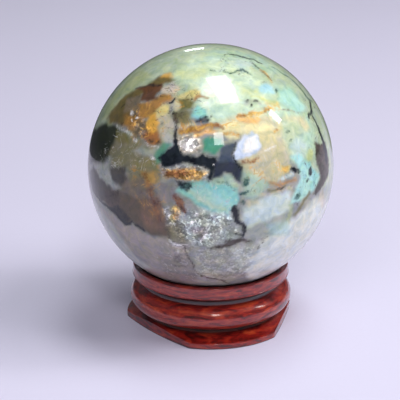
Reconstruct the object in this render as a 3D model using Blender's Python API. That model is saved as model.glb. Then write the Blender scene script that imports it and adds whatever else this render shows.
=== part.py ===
"""A polished stone ball resting in a turned and lacquered wooden ring stand.

Metres, +Z up. The origin is the middle of the stand's underside, and the view that
shows the stone's finest side is from -Y.
"""

import math

import bmesh
import bpy
from mathutils import Vector

MM = 0.001

# The ball
BALL_RADIUS = 30.0 * MM
BALL_CENTRE_HEIGHT = 39.4 * MM
BALL_SUBDIVISIONS = 5

# The bore through the stand, and the dished seat that the ball sits in
SEAT_GAP = 0.3 * MM
BORE_RADIUS = 12.4 * MM
BORE_CHAMFER = 0.6 * MM

# The collar around the seat, with a thin lip along its bottom edge
COLLAR_TOP_HEIGHT = 15.1 * MM
COLLAR_RADIUS = 19.4 * MM
COLLAR_EDGE_ROUND = 0.35 * MM
LIP_RADIUS = 19.55 * MM
LIP_HEIGHT = 12.35 * MM
LIP_THICKNESS = 0.3 * MM

# The fat bead under the collar, and the necks above and below it
BEAD_RADIUS = 20.2 * MM
BEAD_HEIGHT = 6.8 * MM
BEAD_ROUND = 2.95 * MM
UPPER_NECK_RADIUS = 17.35 * MM
UPPER_NECK_TOP = 11.4 * MM
LOWER_NECK_RADIUS = 16.85 * MM
LOWER_NECK_HEIGHT = 3.35 * MM

# The foot, from the shoulder under the lower neck out to its rim
SHOULDER_RADIUS = 17.8 * MM
SHOULDER_HEIGHT = 2.45 * MM
RIM_RADIUS = 21.1 * MM
RIM_HEIGHT = 1.5 * MM
RIM_ROUND = 0.25 * MM
FOOT_COVE_DEPTH = 0.12 * MM

# Flats ground on the foot: bearing from +X in degrees, distance from the axis to the
# straight line between the flat's ends, and how far the flat bulges past that line
FOOT_FLATS = {
    "left_flat": (-140.5, 16.85 * MM, 1.15 * MM),
    "right_flat": (-13.5, 18.45 * MM, 0.35 * MM),
    "back_flat": (98.0, 18.2 * MM, 0.5 * MM),
}
FLAT_CUT_TOP = 3.2 * MM
FLAT_CUT_MARGIN = 2.0 * MM

TURNED_STEPS = 56


def clear_scene():
    for old in list(bpy.data.objects):
        bpy.data.objects.remove(old)


def make_material(name, colour, roughness, coat):
    material = bpy.data.materials.new(name)
    material.use_nodes = True
    shader = material.node_tree.nodes["Principled BSDF"]
    shader.inputs["Base Color"].default_value = (*colour, 1.0)
    shader.inputs["Roughness"].default_value = roughness
    shader.inputs["Metallic"].default_value = 0.0
    shader.inputs["Coat Weight"].default_value = coat
    return material


def add_object(name, mesh, material=None):
    obj = bpy.data.objects.new(name, mesh)
    bpy.context.scene.collection.objects.link(obj)
    if material:
        mesh.materials.append(material)
    return obj


def arc(centre, radius, start, end, steps):
    """Points (r, z) of an arc, its angles in degrees from the outward direction."""
    points = []
    for step in range(steps + 1):
        angle = math.radians(start + (end - start) * step / steps)
        points.append((centre[0] + radius * math.cos(angle), centre[1] + radius * math.sin(angle)))
    return points


def seat_points():
    """The dished seat, concentric with the ball, from the bore out to the collar's top."""
    radius = BALL_RADIUS + SEAT_GAP
    inner = -math.degrees(math.acos(BORE_RADIUS / radius))
    outer = -math.degrees(math.asin((BALL_CENTRE_HEIGHT - COLLAR_TOP_HEIGHT) / radius))
    return arc((0.0, BALL_CENTRE_HEIGHT), radius, inner, outer, 4)


def collar_points():
    edge = (COLLAR_RADIUS - COLLAR_EDGE_ROUND, COLLAR_TOP_HEIGHT - COLLAR_EDGE_ROUND)
    lip = (LIP_RADIUS - LIP_THICKNESS / 2, LIP_HEIGHT)
    return arc(edge, COLLAR_EDGE_ROUND, 90, 0, 3) + arc(lip, LIP_THICKNESS / 2, 60, -90, 3)


def bead_points():
    upper_neck = [
        (UPPER_NECK_RADIUS + 0.3 * MM, UPPER_NECK_TOP),
        (UPPER_NECK_RADIUS, UPPER_NECK_TOP - 0.4 * MM),
        (UPPER_NECK_RADIUS, BEAD_HEIGHT + BEAD_ROUND + 0.2 * MM),
    ]
    bead = arc((BEAD_RADIUS - BEAD_ROUND, BEAD_HEIGHT), BEAD_ROUND, 80, -80, 9)
    lower_neck = [
        (LOWER_NECK_RADIUS + 0.15 * MM, LOWER_NECK_HEIGHT + 0.4 * MM),
        (LOWER_NECK_RADIUS, LOWER_NECK_HEIGHT),
        (LOWER_NECK_RADIUS + 0.3 * MM, LOWER_NECK_HEIGHT - 0.6 * MM),
    ]
    return upper_neck + bead + lower_neck


def foot_points():
    """The foot's hollowed slope from shoulder to rim, and its underside in to the bore."""
    slope = []
    steps = 3
    for step in range(steps + 1):
        part = step / steps
        radius = SHOULDER_RADIUS + (RIM_RADIUS - RIM_ROUND - SHOULDER_RADIUS) * part
        height = SHOULDER_HEIGHT + (RIM_HEIGHT - SHOULDER_HEIGHT) * part
        slope.append((radius, height - FOOT_COVE_DEPTH * math.sin(math.pi * part)))
    rim = arc((RIM_RADIUS - RIM_ROUND, RIM_HEIGHT - RIM_ROUND), RIM_ROUND, 45, 0, 1)
    base = arc((RIM_RADIUS - RIM_ROUND, RIM_ROUND), RIM_ROUND, 0, -90, 2)
    bore = [(BORE_RADIUS + BORE_CHAMFER, 0.0), (BORE_RADIUS, BORE_CHAMFER)]
    return slope + rim + base + bore


def make_ball(material):
    mesh = bpy.data.meshes.new("stone_sphere")
    shape = bmesh.new()
    bmesh.ops.create_icosphere(shape, subdivisions=BALL_SUBDIVISIONS, radius=BALL_RADIUS)
    shape.to_mesh(mesh)
    shape.free()
    ball = add_object("stone_sphere", mesh, material)
    ball.location.z = BALL_CENTRE_HEIGHT
    mesh.shade_smooth()
    return ball


def make_flat_cutter(name, bearing, distance, bulge):
    """A block whose inner side is the flat: an arc through its two ends, higher by the bulge."""
    half_chord = math.sqrt(RIM_RADIUS**2 - distance**2)
    curve_radius = (half_chord**2 + bulge**2) / (2 * bulge)
    centre = distance + bulge - curve_radius
    reach = half_chord + FLAT_CUT_MARGIN
    outer = RIM_RADIUS + FLAT_CUT_MARGIN
    steps = 12
    outline = []
    for step in range(steps + 1):
        side = -reach + 2 * reach * step / steps
        outline.append((centre + math.sqrt(curve_radius**2 - side**2), side))
    outline += [(outer, reach), (outer, -reach)]

    mesh = bpy.data.meshes.new(name)
    shape = bmesh.new()
    low = -FLAT_CUT_MARGIN
    face = shape.faces.new([shape.verts.new((x, y, low)) for x, y in outline])
    grown = bmesh.ops.extrude_face_region(shape, geom=[face])
    lifted = [item for item in grown["geom"] if isinstance(item, bmesh.types.BMVert)]
    bmesh.ops.translate(shape, verts=lifted, vec=Vector((0, 0, FLAT_CUT_TOP - low)))
    bmesh.ops.recalc_face_normals(shape, faces=shape.faces)
    shape.to_mesh(mesh)
    shape.free()
    cutter = add_object(name, mesh)
    cutter.rotation_euler.z = math.radians(bearing)
    cutter.hide_render = True
    cutter.display_type = "WIRE"
    return cutter


def make_stand(material):
    """The stand's closed profile turned about Z, with the flats cut from its foot."""
    profile = seat_points() + collar_points() + bead_points() + foot_points()
    mesh = bpy.data.meshes.new("wood_stand")
    edges = [(i, (i + 1) % len(profile)) for i in range(len(profile))]
    mesh.from_pydata([(r, 0.0, z) for r, z in profile], edges, [])
    stand = add_object("wood_stand", mesh, material)

    turn = stand.modifiers.new("turn", "SCREW")
    turn.angle = 2 * math.pi
    turn.steps = TURNED_STEPS
    turn.render_steps = TURNED_STEPS
    turn.use_merge_vertices = True
    turn.merge_threshold = 0.00001
    turn.use_smooth_shade = True

    for name, (bearing, distance, bulge) in FOOT_FLATS.items():
        cut = stand.modifiers.new(name, "BOOLEAN")
        cut.operation = "DIFFERENCE"
        cut.solver = "EXACT"
        cut.object = make_flat_cutter(name, bearing, distance, bulge)
    return stand


clear_scene()
stone = make_material("stone", (0.42, 0.50, 0.45), 0.12, 1.0)
lacquered_wood = make_material("lacquered_wood", (0.30, 0.02, 0.01), 0.25, 1.0)
make_ball(stone)
make_stand(lacquered_wood)
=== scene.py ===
import math

import bpy
import numpy as np
from mathutils import Matrix, Vector, noise


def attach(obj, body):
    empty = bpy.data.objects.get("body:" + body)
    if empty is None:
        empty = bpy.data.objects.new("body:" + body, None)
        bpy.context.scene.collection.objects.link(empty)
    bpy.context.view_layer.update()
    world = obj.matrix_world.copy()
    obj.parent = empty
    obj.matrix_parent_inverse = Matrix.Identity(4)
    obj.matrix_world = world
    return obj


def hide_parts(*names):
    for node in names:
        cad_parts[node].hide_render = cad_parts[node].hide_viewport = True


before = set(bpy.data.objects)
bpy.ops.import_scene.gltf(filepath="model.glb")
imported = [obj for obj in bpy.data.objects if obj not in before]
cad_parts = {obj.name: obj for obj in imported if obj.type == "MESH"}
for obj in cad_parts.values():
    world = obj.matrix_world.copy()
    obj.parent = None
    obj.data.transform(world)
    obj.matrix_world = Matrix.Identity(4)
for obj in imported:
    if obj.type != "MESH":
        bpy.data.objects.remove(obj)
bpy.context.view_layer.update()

mm = 0.001
scene = bpy.context.scene
scene.view_settings.view_transform = "Standard"


def addNode(tree, kind, inputs=None, **settings):
    node = tree.nodes.new(kind)
    for name, value in settings.items():
        setattr(node, name, value)
    for name, value in (inputs or {}).items():
        socket = node.inputs[name]
        if isinstance(value, bpy.types.NodeSocket):
            tree.links.new(value, socket)
        else:
            socket.default_value = value
    return node


def mathNode(tree, operation, a, b=0.0, c=0.0, clamp=False):
    settings = {"operation": operation, "use_clamp": clamp}
    return addNode(tree, "ShaderNodeMath", {0: a, 1: b, 2: c}, **settings).outputs[0]


def mapRange(tree, value, given=(0.0, 1.0), result=(0.0, 1.0)):
    return addNode(tree, "ShaderNodeMapRange", {
        "Value": value, "From Min": given[0], "From Max": given[1],
        "To Min": result[0], "To Max": result[1]}).outputs["Result"]


def noiseTexture(tree, place, size, **settings):
    inputs = {"Vector": place, "Scale": 1 / size, **settings}
    return addNode(tree, "ShaderNodeTexNoise", inputs).outputs


def channels(tree, colour):
    return addNode(tree, "ShaderNodeSeparateColor", {"Color": colour}).outputs


def attributeNode(tree, name):
    return addNode(tree, "ShaderNodeAttribute", attribute_name=name).outputs


def mixColour(tree, factor, a, b, blend="MIX"):
    node = tree.nodes.new("ShaderNodeMix")
    node.data_type = "RGBA"
    node.blend_type = blend
    for socket, value in ((node.inputs[0], factor), (node.inputs[6], a), (node.inputs[7], b)):
        if isinstance(value, bpy.types.NodeSocket):
            tree.links.new(value, socket)
        elif isinstance(value, (int, float)):
            socket.default_value = value
        else:
            socket.default_value = (*value, 1.0)
    return node.outputs[2]


def newMaterial(name):
    material = bpy.data.materials.new(name)
    material.use_nodes = True
    shader = material.node_tree.nodes["Principled BSDF"]
    return material, material.node_tree, shader


def bakeToMesh(builder, name):
    # the evaluated result becomes a plain mesh, with no modifier left on it
    graph = bpy.context.evaluated_depsgraph_get()
    mesh = bpy.data.meshes.new_from_object(builder.evaluated_get(graph))
    mesh.name = name
    bpy.data.objects.remove(builder)
    piece = bpy.data.objects.new(name, mesh)
    scene.collection.objects.link(piece)
    return piece


ballPlan = {
    "radius": 30.0 * mm,
    "centreHeight": 39.4 * mm,
    "facesPerSide": 126,
}
cameraPlan = {
    "distance": 350.0 * mm,  # from the ball's centre
    "elevation": math.radians(18.1),
    "ballInPicture": (210.6, 166.6),
    "pictureSize": 400,
    "focalPixels": 1429.0,
}
ballCentre = Vector((0, 0, ballPlan["centreHeight"]))


def cameraAxes(elevation):
    # towards the camera, to its right, and up in its picture
    towards = Vector((0, -math.cos(elevation), math.sin(elevation)))
    right = Vector((1, 0, 0))
    return towards, right, towards.cross(right)


def makeCamera(plan):
    towards, right, up = cameraAxes(plan["elevation"])
    half = plan["pictureSize"] / 2
    across = (plan["ballInPicture"][0] - half) / plan["focalPixels"]
    above = (half - plan["ballInPicture"][1]) / plan["focalPixels"]
    yaw = math.atan(across)
    aim = -math.cos(yaw) * towards - math.sin(yaw) * right
    side = math.cos(yaw) * right - math.sin(yaw) * towards
    pitch = math.atan(above * math.cos(yaw))
    look = math.cos(pitch) * aim - math.sin(pitch) * up
    head = math.cos(pitch) * up + math.sin(pitch) * aim
    data = bpy.data.cameras.new("camera")
    data.sensor_fit = "HORIZONTAL"
    data.lens_unit = "FOV"
    data.angle = 2 * math.atan(half / plan["focalPixels"])
    data.clip_start = 0.01
    camera = bpy.data.objects.new("camera", data)
    place = Matrix((side, head, -look)).transposed().to_4x4()
    place.translation = ballCentre + towards * plan["distance"]
    camera.matrix_world = place
    scene.collection.objects.link(camera)
    scene.camera = camera


makeCamera(cameraPlan)


floorPlan = {
    "halfSize": 4.0,
    "colour": (0.66, 0.63, 0.80),
    "paperGrain": 900.0,
}
cardPlan = {
    "left": -0.50, "right": 0.10, "back": 0.150, "bottom": 0.002, "top": 0.085,
    "colour": (0.05, 0.052, 0.06),
}
lightPlan = {
    # direction from the ball, distance, size across and along, watts, colour, and
    # whether the polish mirrors it
    "softKey": ((0.66, -0.12, 0.74), 0.90, (0.55, 0.55), 5.2, (1.0, 0.985, 0.96), False),
    "softFront": ((-0.10, -0.72, 0.68), 1.20, (0.80, 0.60), 4.6, (0.98, 0.99, 1.0), False),
    "overheadPanel": ((0.158, 0.068, 0.986), 0.90, (0.50, 0.24), 2.8, (0.97, 1.0, 0.97), True),
    "rightWindow": ((0.775, 0.006, 0.631), 1.00, (0.11, 0.19), 0.9, (1.0, 1.0, 0.97), True),
    "frontWindow": ((0.121, -0.723, 0.679), 1.10, (0.16, 0.22), 1.4, (0.98, 1.0, 0.98), True),
    "backWindow": ((-0.086, 0.939, 0.335), 1.20, (0.12, 0.08), 0.35, (0.92, 1.0, 0.97), True),
    "smallLamp": ((0.045, -0.940, 0.340), 1.30, (0.035, 0.035), 0.05, (1.0, 1.0, 1.0), True),
}
worldPlan = {"colour": (0.90, 0.93, 1.0), "strength": 0.13}


def makeFloor(plan):
    mesh = bpy.data.meshes.new("floor")
    h = plan["halfSize"]
    mesh.from_pydata([(-h, -h, 0), (h, -h, 0), (h, h, 0), (-h, h, 0)], [], [(0, 1, 2, 3)])
    floor = bpy.data.objects.new("floor", mesh)
    scene.collection.objects.link(floor)
    material, tree, shader = newMaterial("paleLilacFloor")
    place = addNode(tree, "ShaderNodeTexCoord").outputs["Object"]
    grain = addNode(tree, "ShaderNodeTexNoise", {
        "Vector": place, "Scale": plan["paperGrain"], "Detail": 2.0})
    paler = tuple(min(1.0, c * 1.03) for c in plan["colour"])
    colour = mixColour(tree, grain.outputs["Fac"], plan["colour"], paler)
    tree.links.new(colour, shader.inputs["Base Color"])
    shader.inputs["Roughness"].default_value = 0.6
    shader.inputs["Specular IOR Level"].default_value = 0.2
    mesh.materials.append(material)


def makeDarkCard(plan):
    # a dark card behind on the left, which only the polish mirrors
    mesh = bpy.data.meshes.new("darkCard")
    left, right, back = plan["left"], plan["right"], plan["back"]
    bottom, top = plan["bottom"], plan["top"]
    corners = [(left, back, bottom), (right, back, bottom), (right, back, top), (left, back, top)]
    mesh.from_pydata(corners, [], [(0, 1, 2, 3)])
    card = bpy.data.objects.new("darkCard", mesh)
    scene.collection.objects.link(card)
    material, tree, shader = newMaterial("darkCard")
    shader.inputs["Base Color"].default_value = (*plan["colour"], 1.0)
    shader.inputs["Roughness"].default_value = 0.9
    mesh.materials.append(material)
    card.visible_camera = False
    card.visible_diffuse = False
    card.visible_shadow = False


def makeLights(plan):
    for name, (direction, distance, size, watts, colour, mirrored) in plan.items():
        data = bpy.data.lights.new(name, "AREA")
        data.shape = "RECTANGLE"
        data.size, data.size_y = size
        data.energy = watts
        data.color = colour
        lamp = bpy.data.objects.new(name, data)
        ray = Vector(direction).normalized()
        lamp.location = ballCentre + ray * distance
        lamp.rotation_euler = ray.to_track_quat("Z", "Y").to_euler()
        lamp.visible_glossy = mirrored
        scene.collection.objects.link(lamp)


def makeWorld(plan):
    world = bpy.data.worlds.new("studio")
    world.use_nodes = True
    sky = world.node_tree.nodes["Background"]
    sky.inputs["Color"].default_value = (*plan["colour"], 1.0)
    sky.inputs["Strength"].default_value = plan["strength"]
    scene.world = world


makeFloor(floorPlan)
makeDarkCard(cardPlan)
makeLights(lightPlan)
makeWorld(worldPlan)
print("camera, floor and lights ready")


# The ground colours of the stone, under its veins, and those of the painted highlights and rim
# reflections.
groundColours = {
    "coolGrey": (0.30, 0.31, 0.29),
    "sageMint": (0.42, 0.51, 0.36),
    "paleMint": (0.56, 0.68, 0.50),
    # the colour of the painted highlights
    "whiteMint": (0.74, 0.86, 0.72),
    "mint": (0.42, 0.60, 0.46),
    "aqua": (0.38, 0.66, 0.60),
    "turquoise": (0.26, 0.60, 0.56),
    "sky": (0.40, 0.66, 0.72),
    "skyWhite": (0.58, 0.68, 0.66),
    "blueWhite": (0.56, 0.64, 0.78),
    "pureWhite": (0.92, 0.91, 0.93),
    "milkWhite": (0.72, 0.76, 0.70),
    "pearl": (0.48, 0.52, 0.47),
    "silver": (0.37, 0.40, 0.36),
    "ash": (0.36, 0.36, 0.31),
    "lavender": (0.35, 0.315, 0.285),
    "mauve": (0.24, 0.22, 0.21),
    "cream": (0.64, 0.58, 0.36),
    "butter": (0.84, 0.74, 0.42),
    "peach": (0.90, 0.52, 0.20),
    "straw": (0.66, 0.56, 0.24),
    "pinkCream": (0.62, 0.53, 0.42),
    "beige": (0.50, 0.46, 0.34),
    "khaki": (0.26, 0.23, 0.10),
    "paleOlive": (0.38, 0.43, 0.22),
    "yellowGreen": (0.58, 0.62, 0.26),
    "oliveBrown": (0.13, 0.09, 0.022),
    "olive": (0.15, 0.135, 0.04),
    "oliveGrey": (0.23, 0.21, 0.12),
    "amber": (0.80, 0.42, 0.07),
    "goldBrown": (0.38, 0.19, 0.05),
    "redBrown": (0.11, 0.042, 0.018),
    "rustBrown": (0.32, 0.12, 0.03),
    "taupe": (0.19, 0.15, 0.11),
    "redTaupe": (0.19, 0.115, 0.075),
    "smoke": (0.105, 0.080, 0.055),
    "darkSmoke": (0.050, 0.046, 0.036),
    "nightGreen": (0.020, 0.026, 0.014),
    "slate": (0.070, 0.090, 0.135),
    "deepSlate": (0.034, 0.042, 0.066),
    "seaGreen": (0.06, 0.30, 0.20),
}

# What lies in the polished stone, seen from in front, with a few rows of painted highlight and
# painted rim reflection: places are millimetres across and up from the middle of the ball's
# outline. Each row is a colour or mineral, how strong it is, how soft its edge is in mm, and its
# shape. A shape is an outline of (across, up), a vein of (across, up, width), or one ellipse
# (across, up, half width, half height, turn). Rows lie over the rows before them.
frontGround = [
    ("sageMint", 1.0, 4.0, [(-30, 4), (-27, 14), (-20, 23), (-10, 29), (2, 31), (14, 27.5),
        (24, 19), (30, 8), (30, -6), (25, -4), (21, 1), (15, 9), (8, 8), (0, 11), (-6, 15),
        (-10, 20), (-15, 20.5), (-19, 17.5), (-22.5, 13), (-25, 9)]),
    ("paleMint", 1.0, 3.0, [(-9, 22), (-4, 27), (6, 26), (12, 22), (16, 16), (24, 12), (25, 4),
        (20, 1), (15, 8), (8, 11), (0, 10.5), (-3, 15), (-4, 19)]),
    ("paleOlive", 0.7, 2.0, [(-27, 11), (-24, 17), (-17, 23.5), (-14, 22.5), (-19, 18), (-23, 12)]),
    # painted highlight: a pale glow at the top of the ball
    ("whiteMint", 0.95, 3.0, [(-2, 13), (-3, 19), (0, 22), (5, 21.5), (7, 17), (6, 13.5), (2, 12)]),
    ("mint", 0.8, 3.0, [(15, 20), (20, 19.5), (23, 14), (25.5, 8), (25, 3), (21, 3), (20, 10),
        (17, 15)]),
    ("mint", 0.7, 2.5, (2.5, 13.6, 4.0, 1.6, 0)),
    ("mint", 0.6, 2.5, [(-1, 28), (4, 28.6), (12, 26.6), (18, 22.6), (14, 22.6), (6, 26),
        (-1, 26)]),
    ("yellowGreen", 0.5, 2.0, (-4.5, 22.7, 4.0, 1.0, 2)),
    ("yellowGreen", 0.5, 1.6, (10, 18.4, 2.6, 0.8, 5)),
    ("skyWhite", 0.6, 2.0, (7, 25.2, 3.0, 0.8, -8)),
    # painted reflection: a pale line along the ball's upper right rim
    ("pearl", 0.8, 0.8, [(4, 29.7, 0.8), (12, 27.4, 1.0), (18, 23.6, 1.0), (24, 17.2, 0.9),
        (26.6, 12.6, 0.8)]),
    ("cream", 0.95, 2.5, [(1, 8), (3, 11), (12, 13), (17, 12.5), (23, 12), (24, 9), (20, 6),
        (19, 1), (18, -2), (15, -4), (11, -3), (8.5, -1), (7, 1.5), (8, 8), (4, 8.5)]),
    ("beige", 0.6, 1.8, [(12, 4), (17, 6), (19, 3), (18, -1), (14, -3.4), (9, -1), (8, 1),
        (11, 2)]),
    ("mint", 0.6, 2.0, [(17, 12), (21, 11), (24, 8), (24, 4), (19, 3.4), (17.6, 7)]),
    ("butter", 0.95, 1.5, [(1, 8.8), (4, 10.6), (12, 10.6), (16, 9.6), (12, 8.2), (6, 8.6)]),
    ("peach", 0.9, 1.0, [(6.2, 12), (10, 12.2), (12.4, 11.8), (11.5, 10.8), (7, 10.8)]),
    ("peach", 0.85, 0.8, [(-3.4, 7.8, 0.8), (-1, 8.3, 0.9), (0.6, 8.5, 0.6)]),
    ("butter", 0.9, 0.9, [(3.3, 8.6), (7, 7.6), (7, 6.6), (4.6, 6.6), (3.4, 7.6)]),
    ("sky", 0.9, 1.4, (13.6, 18.8, 1.8, 1.1, -15)),
    ("aqua", 0.75, 1.8, [(16.5, 18.5), (19.5, 19), (23, 14.5), (21, 12.8), (18.8, 14.8),
        (16.5, 16.2)]),
    ("skyWhite", 0.7, 2.0, (21.6, 4.6, 2.0, 2.2, 0)),
    ("yellowGreen", 0.8, 1.0, [(9.6, 17.2, 0.6), (13, 16.4, 1.2), (16.4, 15.6, 0.9)]),
    ("straw", 0.8, 1.0, [(13.6, 15.4, 0.8), (16.6, 15.2, 0.8)]),
    # painted highlight: a small pale spot at the upper right
    ("whiteMint", 0.6, 1.2, (15.6, 12.6, 1.0, 1.4, 0)),
    ("silver", 0.7, 0.8, [(8.6, 15.6, 1.2), (12, 15.2, 1.0)]),
    ("blueWhite", 1.0, 0.7, [(5.8, 2), (8, 1.7), (11, 3), (12.8, 5), (12.2, 7.4), (10.4, 8.4),
        (8, 7.6), (7.4, 6.2), (6.2, 5.6)]),
    ("pureWhite", 1.0, 1.2, [(8.4, 3.0), (11.4, 4), (12.6, 5.4), (11.6, 7.4), (9.4, 7.2),
        (8.2, 5.4)]),
    # brown patch at the upper left
    ("oliveBrown", 0.95, 1.5, [(-25.4, 11.6), (-22, 16.2), (-18.4, 19), (-15, 20.4), (-12.6, 22),
        (-10, 22.2), (-9.4, 20.8), (-13, 19.6), (-16.6, 17.6), (-17.6, 13), (-19.6, 10),
        (-23, 10.2)]),
    ("taupe", 0.85, 1.4, [(-20.6, 16.6), (-17.2, 17.2), (-16.6, 14), (-18, 12.6), (-21, 13.4)]),
    ("goldBrown", 0.95, 1.3, [(-17.4, 15.6), (-14.6, 15.8), (-12.6, 17.4), (-9.8, 17.8),
        (-9.4, 16.4), (-12, 14.8), (-13.2, 12.8), (-15.2, 12), (-17.6, 12.4)]),
    ("redBrown", 0.95, 1.0, [(-18.2, 19.2), (-14.6, 20.1), (-11.8, 20.3), (-11.4, 19.2),
        (-13.2, 18), (-13.4, 16.4), (-15, 15.8), (-16.8, 16.4), (-16.4, 18)]),
    ("pinkCream", 0.9, 1.2, [(-11.8, 19.2), (-9.8, 20.4), (-7.6, 19.4), (-8.2, 17.2),
        (-10.4, 17.4), (-12.2, 17.8)]),
    ("amber", 0.6, 1.0, (-10.6, 22.1, 1.6, 0.5, 8)),
    ("goldBrown", 0.9, 1.6, [(-21, 12.6), (-17.4, 12.8), (-14.8, 10), (-16, 7), (-19, 7.6),
        (-21, 9.6)]),
    ("taupe", 0.9, 1.4, [(-18.4, 11), (-15.4, 11.4), (-15.4, 8), (-16.8, 6.6), (-19, 8)]),
    ("straw", 0.95, 1.1, [(-14.2, 12.6), (-12, 15), (-10.2, 15.2), (-10, 12.8), (-12.4, 11.8)]),
    ("beige", 0.95, 1.2, [(-12.8, 12), (-9.2, 13.4), (-9, 9), (-9.4, 6.2), (-11.8, 5.8), (-13, 8)]),
    ("amber", 0.95, 1.1, [(-15.4, 12.8), (-13.2, 13.2), (-12.8, 10.4), (-13.2, 8.2), (-14.8, 7.8),
        (-15.6, 9.4)]),
    ("rustBrown", 0.9, 1.1, [(-15.4, 8.6), (-12.8, 8.4), (-12, 5.6), (-14, 5), (-15.8, 6.2),
        (-16.6, 7.8)]),
    ("pearl", 0.6, 1.4, (-10.2, 6.4, 1.2, 2.0, 0)),
    ("nightGreen", 1.0, 1.8, [(-30, 1), (-28.4, 9), (-25, 11), (-21.6, 9), (-22.6, 6), (-24, 3.4),
        (-26, 1)]),
    ("oliveGrey", 0.95, 1.8, [(-22.6, 7.6), (-20, 8), (-16.4, 6.2), (-13, 4.8), (-14, 1),
        (-18, -1), (-24, 0.6), (-25, 3)]),
    ("olive", 0.7, 1.2, [(-23, 8.6), (-20.6, 8), (-19.6, 6), (-21.4, 5.6), (-23, 6.6)]),
    ("silver", 0.9, 1.4, [(-19, 3.6), (-16, 4.8), (-12.8, 4.4), (-13, 2), (-16, 2.4)]),
    ("khaki", 0.9, 1.6, [(-15.6, 2), (-12.6, 1.6), (-12.6, -2), (-15, -3), (-17.4, -1.4),
        (-18, 0.6)]),
    # around the dark heart
    ("straw", 0.95, 1.0, [(-8.6, 16.6), (-6, 18), (-3.6, 19), (-2, 18.4), (-2.8, 17),
        (-5.4, 16.4)]),
    ("cream", 0.8, 1.2, [(-9.8, 15), (-8.2, 16.4), (-6, 15), (-8.4, 13.4)]),
    ("olive", 0.95, 1.0, [(-8.2, 16.2), (-5.4, 17), (-4, 16), (-5, 14.2), (-7.2, 13.8)]),
    ("olive", 0.8, 1.6, [(-9, 13.6), (-6, 14), (-4.6, 12.4), (-5, 10.4), (-8.4, 10.2)]),
    ("rustBrown", 0.8, 0.8, [(-3.8, 16.6, 0.9), (-2.2, 17.4, 1.0), (-1, 17, 0.6)]),
    ("turquoise", 0.95, 1.2, [(-4.6, 12), (-2.6, 11.4), (-0.8, 12.4), (-1.6, 14), (-3.4, 14.8),
        (-4.6, 13.6)]),
    ("deepSlate", 0.85, 1.2, [(-4, 11.4), (-1.4, 12.4), (0, 11.4), (-0.6, 10.4), (-3.4, 10.2)]),
    ("cream", 0.7, 1.0, [(-7.8, 10, 0.7), (-4.4, 10, 0.7)]),
    ("rustBrown", 0.9, 0.8, [(-7, 9, 0.8), (-3.6, 8.8, 1.1), (-0.6, 9.6, 1.0), (1.6, 10.2, 0.8)]),
    ("pinkCream", 0.95, 1.0, [(-8, 8), (-5, 8.2), (-2.4, 6.8), (-2.2, 4.6), (-4.6, 2.8),
        (-7.6, 3.8), (-8.4, 5.6)]),
    ("seaGreen", 0.95, 1.0, [(-1.8, 3.6), (0.8, 3.4), (3, 5), (2.4, 6.8), (0.4, 7.6), (-1.8, 6.4)]),
    ("slate", 1.0, 0.8, [(1.4, 2), (2.4, 4.8), (4, 5.8), (5.8, 5.6), (5.6, 3), (6.4, 1.2),
        (3.6, 0.6), (1.2, 0.8)]),
    ("deepSlate", 1.0, 0.8, [(0.8, 1.4), (4, 1.6), (6.4, 1.2), (7.7, 0), (7.9, -2), (7.3, -3.3),
        (5.5, -2.4), (3.5, -1.9), (1.5, -2.4), (0.3, -3.2)]),
    ("seaGreen", 0.8, 1.4, [(-13.4, 0.4), (-12, 1.4), (-10.4, 4.6), (-9.4, 5.6), (-11.6, 5.6),
        (-13.4, 3.6)]),
    # smoke-brown lower left
    ("oliveGrey", 0.9, 2.0, [(-20, 0), (-16, 0), (-12.4, -1.4), (-13, -3.6), (-17, -4.6),
        (-20.6, -3)]),
    ("taupe", 0.95, 2.0, [(-22.4, -3), (-17, -3), (-13.4, -4), (-12.6, -7.4), (-17, -7.8),
        (-22, -6)]),
    ("darkSmoke", 0.9, 1.5, [(-24.6, 0.4), (-21, 0), (-20.4, -3.4), (-22, -4.8), (-24.2, -3.4)]),
    ("smoke", 1.0, 2.0, [(-27.4, -7), (-25.6, -5.4), (-21, -6), (-15, -8), (-12.6, -9.6),
        (-10.6, -13), (-9, -17), (-11, -17.8), (-14, -16.9), (-16.8, -15.4), (-18.6, -13.8),
        (-20.4, -14.6), (-24, -11.2)]),
    ("redTaupe", 0.9, 2.2, [(-17, -7.6), (-12.4, -7.4), (-10.8, -12), (-11.4, -16),
        (-14.4, -15.6), (-17, -12.4)]),
    ("silver", 0.85, 0.9, [(-28.6, 0.6), (-26.8, -2.6), (-24.4, -4.9), (-23.2, -4.9),
        (-24.6, -2.4), (-25.2, 0.2)]),
    ("darkSmoke", 0.95, 1.2, [(-29.8, -1), (-28.6, 0.2), (-26.6, -3), (-24.2, -5.2),
        (-24.6, -7.4), (-26.8, -8.4), (-28.8, -6)]),
    ("mauve", 0.9, 1.5, [(-13, -3.8), (-9.2, -4), (-8.6, -7.4), (-10.2, -9.4), (-12.4, -8)]),
    ("amber", 0.5, 1.6, [(-17, -1), (-13.6, -1.4), (-13.2, -4), (-15.6, -4.4)]),
    ("khaki", 0.9, 1.2, [(-9.8, -9.2), (-7.4, -9.6), (-6.6, -13.6), (-8.2, -15), (-10, -13.2)]),
    ("oliveGrey", 0.8, 1.6, [(-10.4, -14.6), (-6, -15), (-4, -18.6), (-6.8, -19), (-10.4, -17.6)]),
    # milky quartz below, with painted reflection along the lower rim
    ("lavender", 1.0, 1.4, [(-28.6, -8.6), (-24.6, -11.4), (-20.6, -15), (-18.5, -14.4),
        (-15.5, -16.6), (-10.4, -18.4), (-6, -20.2), (-3.4, -25), (-2, -29.5), (-12, -28),
        (-20, -23), (-26, -16)]),
    # painted reflection of the floor along the lower left rim
    ("pearl", 0.7, 2.2, [(-29.8, -7), (-27.6, -9.2), (-24, -14), (-20, -20), (-15, -24.6),
        (-17, -26), (-24, -19), (-28.4, -11)]),
    ("mauve", 0.8, 3.0, [(-13, -21), (-5, -22), (-3, -27), (-9, -28.6)]),
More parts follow.
